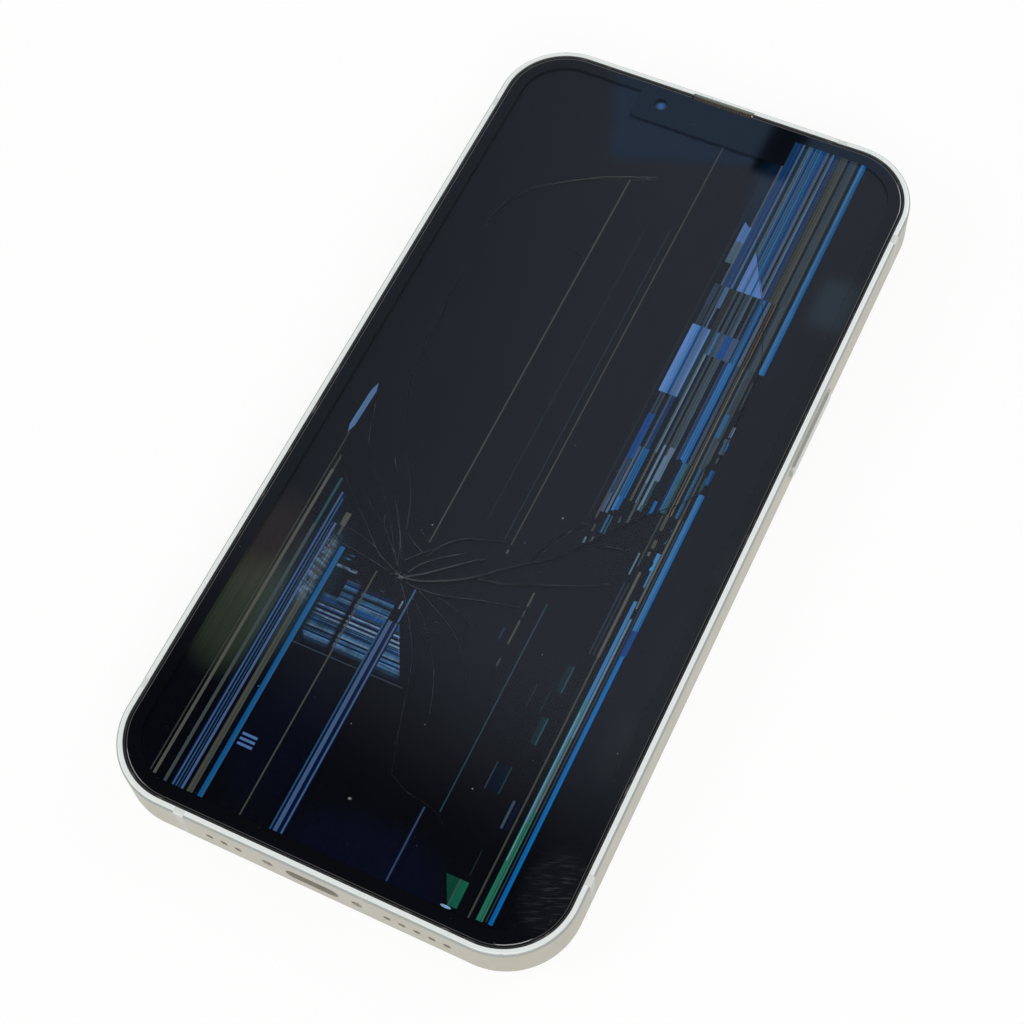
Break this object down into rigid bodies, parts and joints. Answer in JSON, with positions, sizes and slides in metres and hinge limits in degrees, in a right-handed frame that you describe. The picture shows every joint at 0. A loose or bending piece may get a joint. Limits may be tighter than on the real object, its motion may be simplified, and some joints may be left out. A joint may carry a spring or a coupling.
{
  "type": "shattered screen phone",
  "caption": "Slab phone on its back with cracked front glass and lit fault stripes, flat metal rails, push buttons, a sliding card tray and its inner modules.",
  "frame": {"origin": "middle of the footprint, on the surface that the rear lens rings touch", "axes": "+X to the side with the long side button, +Y to the end with the earpiece, +Z out of the screen"},
  "size_m": [0.0724, 0.1466, 0.0099],
  "materials": {
    "rail": "bead-blasted, anodised pale warm champagne",
    "rail_split": "matt pale grey",
    "button": "anodised, a little smoother than the rails",
    "tray": "anodised",
    "mid_plate": "milled, satin",
    "back_glass": "gloss, colour-coated inside",
    "lens_ring": "polished ring",
    "lens_glass": "dark coated lens cover",
    "flash_window": "ribbed, clear over yellow",
    "cover_glass": "clear, cracked, black behind its border",
    "display_bezel": "black",
    "display_panel": "black with lit fault stripes",
    "sheet_steel": "stamped sheet",
    "ribbon": "amber polyimide film",
    "gasket": "black foam adhesive",
    "mesh": "dusty woven steel",
    "black_moulding": "black",
    "sensor": "black with a coated lens",
    "battery": "black laminated pouch",
    "tape": "white stretch-release strip",
    "board": "dark green solder mask",
    "chip": "black moulded packages",
    "screw": "nickel-plated",
    "tungsten": "heavy alloy, ground",
    "contact": "gold-plated",
    "copper": "enamelled copper",
    "ferrite": "black ferrite sheet"
  },
  "bodies": {
    "phone": {"frame_rail_left": "rail", "frame_rail_right": "rail", "frame_top_left": "rail", "frame_top_right": "rail", "frame_bottom_left": "rail", "frame_bottom_right": "rail", "antenna_splits": "rail_split", "mid_plate": "mid_plate", "back_glass": "back_glass", "back_adhesive": "gasket", "lens_ring_upper": "lens_ring", "lens_ring_lower": "lens_ring", "lens_glass_upper": "lens_glass", "lens_glass_lower": "lens_glass", "flash_window": "flash_window", "rear_microphone": "sensor", "cover_glass": "cover_glass", "display_bezel": "display_bezel", "display_panel": "display_panel", "display_plate": "sheet_steel", "display_flex": "ribbon", "display_gasket": "gasket", "earpiece_mesh": "mesh", "earpiece_speaker": "black_moulding", "front_camera": "sensor", "depth_sensor": "sensor", "sensor_bracket": "sheet_steel", "battery": "battery", "battery_tape": "tape", "battery_lead": "ribbon", "logic_board_lower": "board", "board_interposer": "board", "logic_board_upper": "board", "board_chips": "chip", "board_shields": "sheet_steel", "connector_cover": "sheet_steel", "cover_screws": "screw", "rear_camera_upper": "sensor", "rear_camera_lower": "sensor", "flash_module": "flash_window", "camera_bracket": "sheet_steel", "haptic_case": "sheet_steel", "haptic_lid": "sheet_steel", "loudspeaker": "black_moulding", "charge_port": "black_moulding", "port_contacts": "contact", "port_flex": "ribbon", "hole_meshes": "mesh", "base_screws": "screw", "charging_coil": "copper", "coil_shield": "ferrite", "side_button_switch": "sheet_steel", "left_switches": "sheet_steel", "card_reader": "sheet_steel"},
    "side_button": {"side_button": "button"},
    "volume_up": {"volume_up_button": "button"},
    "volume_down": {"volume_down_button": "button"},
    "ring_switch": {"ring_switch": "button"},
    "tray": {"card_tray": "tray"},
    "haptic_mass": {"haptic_mass": "tungsten"}
  },
  "joints": [
    {"name": "side_button_press", "type": "slide", "parent": "phone", "child": "side_button", "axis": [-1, 0, 0], "range_m": [0, 0.00025], "stiffness_N_per_m": 800},
    {"name": "volume_up_press", "type": "slide", "parent": "phone", "child": "volume_up", "axis": [1, 0, 0], "range_m": [0, 0.00025], "stiffness_N_per_m": 800},
    {"name": "volume_down_press", "type": "slide", "parent": "phone", "child": "volume_down", "axis": [1, 0, 0], "range_m": [0, 0.00025], "stiffness_N_per_m": 800},
    {"name": "ring_switch_slide", "type": "slide", "parent": "phone", "child": "ring_switch", "axis": [0, 0, -1], "range_m": [0, 0.0013]},
    {"name": "tray_slide", "type": "slide", "parent": "phone", "child": "tray", "axis": [-1, 0, 0], "range_m": [0, 0.018]},
    {"name": "haptic_shake", "type": "slide", "parent": "phone", "child": "haptic_mass", "axis": [1, 0, 0], "range_m": [-0.0005, 0.0005], "stiffness_N_per_m": 2500}
  ]
}
